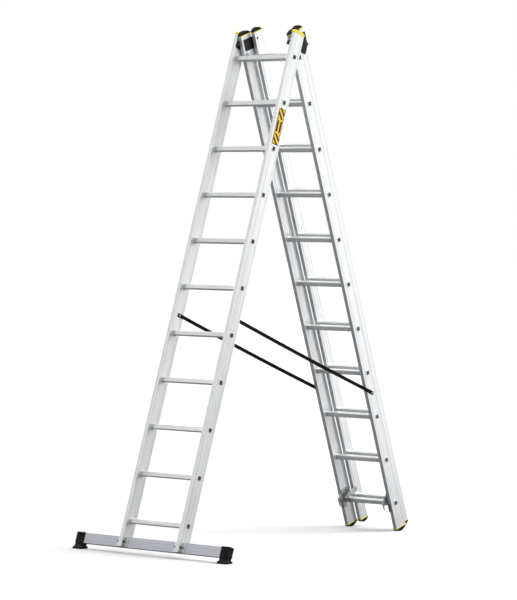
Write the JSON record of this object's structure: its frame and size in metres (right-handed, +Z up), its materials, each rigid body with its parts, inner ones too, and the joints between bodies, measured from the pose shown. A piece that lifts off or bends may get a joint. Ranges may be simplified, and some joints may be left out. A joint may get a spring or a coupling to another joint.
{
  "type": "extension ladder",
  "caption": "Three-section aluminium extension ladder standing as an A-frame on a wide stabiliser bar, with square rungs, hinge brackets, spreader straps, swinging rung hooks and rubber feet",
  "frame": {"origin": "the floor, under the centre of the standing ladder's footprint", "axes": "+X across the rungs, -Y towards the front section's feet, +Z up"},
  "size_m": [1.204, 2.1072, 3.0202],
  "materials": {
    "ladder_aluminium": "mill finish, fine drawn lines",
    "bar_aluminium": "satin",
    "black_rubber": "matt",
    "yellow_plastic": "satin",
    "black_webbing": "woven webbing",
    "label_plastic": "printed film",
    "black_steel": "satin powder coat",
    "zinc_steel": "zinc plated"
  },
  "bodies": {
    "front_section": {"front_label": "label_plastic", "front_rungs": "ladder_aluminium", "front_stile_left": "ladder_aluminium", "front_stile_right": "ladder_aluminium", "front_strap_rivets": "zinc_steel", "front_top_plug_left": "yellow_plastic", "front_top_plug_right": "yellow_plastic", "hinge_bracket_left": "black_steel", "hinge_bracket_right": "black_steel", "hinge_bracket_rivets": "zinc_steel", "hinge_nuts": "zinc_steel", "hinge_pivot_left": "zinc_steel", "hinge_pivot_right": "zinc_steel", "stabiliser_bar": "bar_aluminium", "stabiliser_bolts": "zinc_steel", "stabiliser_clip_inner_left": "zinc_steel", "stabiliser_clip_inner_right": "zinc_steel", "stabiliser_clip_outer_left": "zinc_steel", "stabiliser_clip_outer_right": "zinc_steel", "stabiliser_foot_left": "black_rubber", "stabiliser_foot_right": "black_rubber", "stabiliser_screws": "zinc_steel", "strap_left": "black_webbing", "strap_right": "black_webbing"},
    "middle_section": {"guide_plate_left": "black_steel", "guide_plate_right": "black_steel", "guide_plate_rivets": "zinc_steel", "middle_foot_liner_left": "yellow_plastic", "middle_foot_liner_right": "yellow_plastic", "middle_foot_pad_left": "black_rubber", "middle_foot_pad_right": "black_rubber", "middle_hook_pin_left": "zinc_steel", "middle_hook_pin_right": "zinc_steel", "middle_hook_plate_left": "zinc_steel", "middle_hook_plate_right": "zinc_steel", "middle_rungs": "ladder_aluminium", "middle_stile_left": "ladder_aluminium", "middle_stile_right": "ladder_aluminium", "middle_strap_rivets": "zinc_steel", "middle_top_liner_left": "yellow_plastic", "middle_top_liner_right": "yellow_plastic", "middle_top_pad_left": "black_rubber", "middle_top_pad_right": "black_rubber"},
    "rear_section": {"rear_foot_liner_left": "yellow_plastic", "rear_foot_liner_right": "yellow_plastic", "rear_foot_pad_left": "black_rubber", "rear_foot_pad_right": "black_rubber", "rear_hook_pin_left": "zinc_steel", "rear_hook_pin_right": "zinc_steel", "rear_rungs": "ladder_aluminium", "rear_stile_left": "ladder_aluminium", "rear_stile_right": "ladder_aluminium", "rear_top_liner_left": "yellow_plastic", "rear_top_liner_right": "yellow_plastic", "rear_top_pad_left": "black_rubber", "rear_top_pad_right": "black_rubber"},
    "middle_hook_left": {"middle_hook_left": "zinc_steel"},
    "middle_hook_right": {"middle_hook_right": "zinc_steel"},
    "rear_hook_left": {"rear_hook_left": "zinc_steel"},
    "rear_hook_right": {"rear_hook_right": "zinc_steel"}
  },
  "joints": [
    {"name": "fold", "type": "hinge", "parent": "front_section", "child": "middle_section", "pos_m": [0, -0.0144, 2.85506], "axis": [-1, 0, 0], "range_deg": [0, 37], "deforming": ["strap_left", "strap_right"]},
    {"name": "extend", "type": "slide", "parent": "middle_section", "child": "rear_section", "axis": [0, -0.314, 0.9494], "range_m": [0, 1.68]},
    {"name": "middle_hook_left_swing", "type": "hinge", "parent": "middle_section", "child": "middle_hook_left", "pos_m": [-0.1748, 0.86006, 0.21091], "axis": [-1, 0, 0], "range_deg": [0, 70]},
    {"name": "middle_hook_right_swing", "type": "hinge", "parent": "middle_section", "child": "middle_hook_right", "pos_m": [0.1748, 0.86006, 0.21091], "axis": [-1, 0, 0], "range_deg": [0, 70]},
    {"name": "rear_hook_left_swing", "type": "hinge", "parent": "rear_section", "child": "rear_hook_left", "pos_m": [-0.1448, 0.92969, 0.23605], "axis": [-1, 0, 0], "range_deg": [0, 70]},
    {"name": "rear_hook_right_swing", "type": "hinge", "parent": "rear_section", "child": "rear_hook_right", "pos_m": [0.1448, 0.92969, 0.23605], "axis": [-1, 0, 0], "range_deg": [0, 70]}
  ]
}
